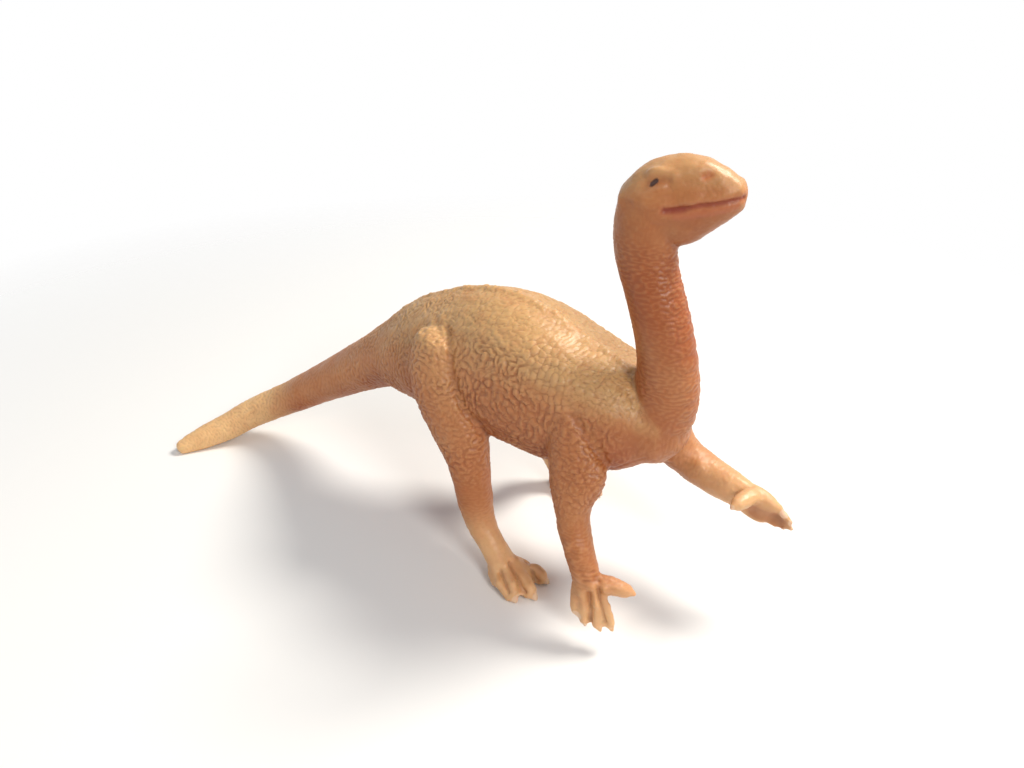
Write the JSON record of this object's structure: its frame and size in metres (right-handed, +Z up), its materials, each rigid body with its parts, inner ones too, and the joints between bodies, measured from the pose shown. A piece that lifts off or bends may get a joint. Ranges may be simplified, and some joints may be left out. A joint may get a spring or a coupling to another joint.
{
  "type": "toy dinosaur figure",
  "caption": "Standing long-necked toy dinosaur of soft moulded plastic, glued from separate trunk, neck, limb and tail pieces, resting on its feet and tail tip.",
  "frame": {"origin": "bottom centre of the figure's bounding box, on the surface it stands on", "axes": "+X towards the head, +Y the figure's left side, +Z up"},
  "size_m": [0.1852, 0.0676, 0.1111],
  "materials": {
    "body_skin": "satin soft moulded plastic, orange tan, paler along the back",
    "neck_skin": "satin soft moulded plastic, orange brown",
    "limb_skin": "satin soft moulded plastic, reddish orange, with pale painted claws"
  },
  "bodies": {
    "root": {"torso": "body_skin", "neck_and_head": "neck_skin", "tail": "body_skin", "right_leg": "limb_skin", "left_leg": "limb_skin", "right_arm": "limb_skin", "left_arm": "limb_skin"}
  },
  "joints": []
}
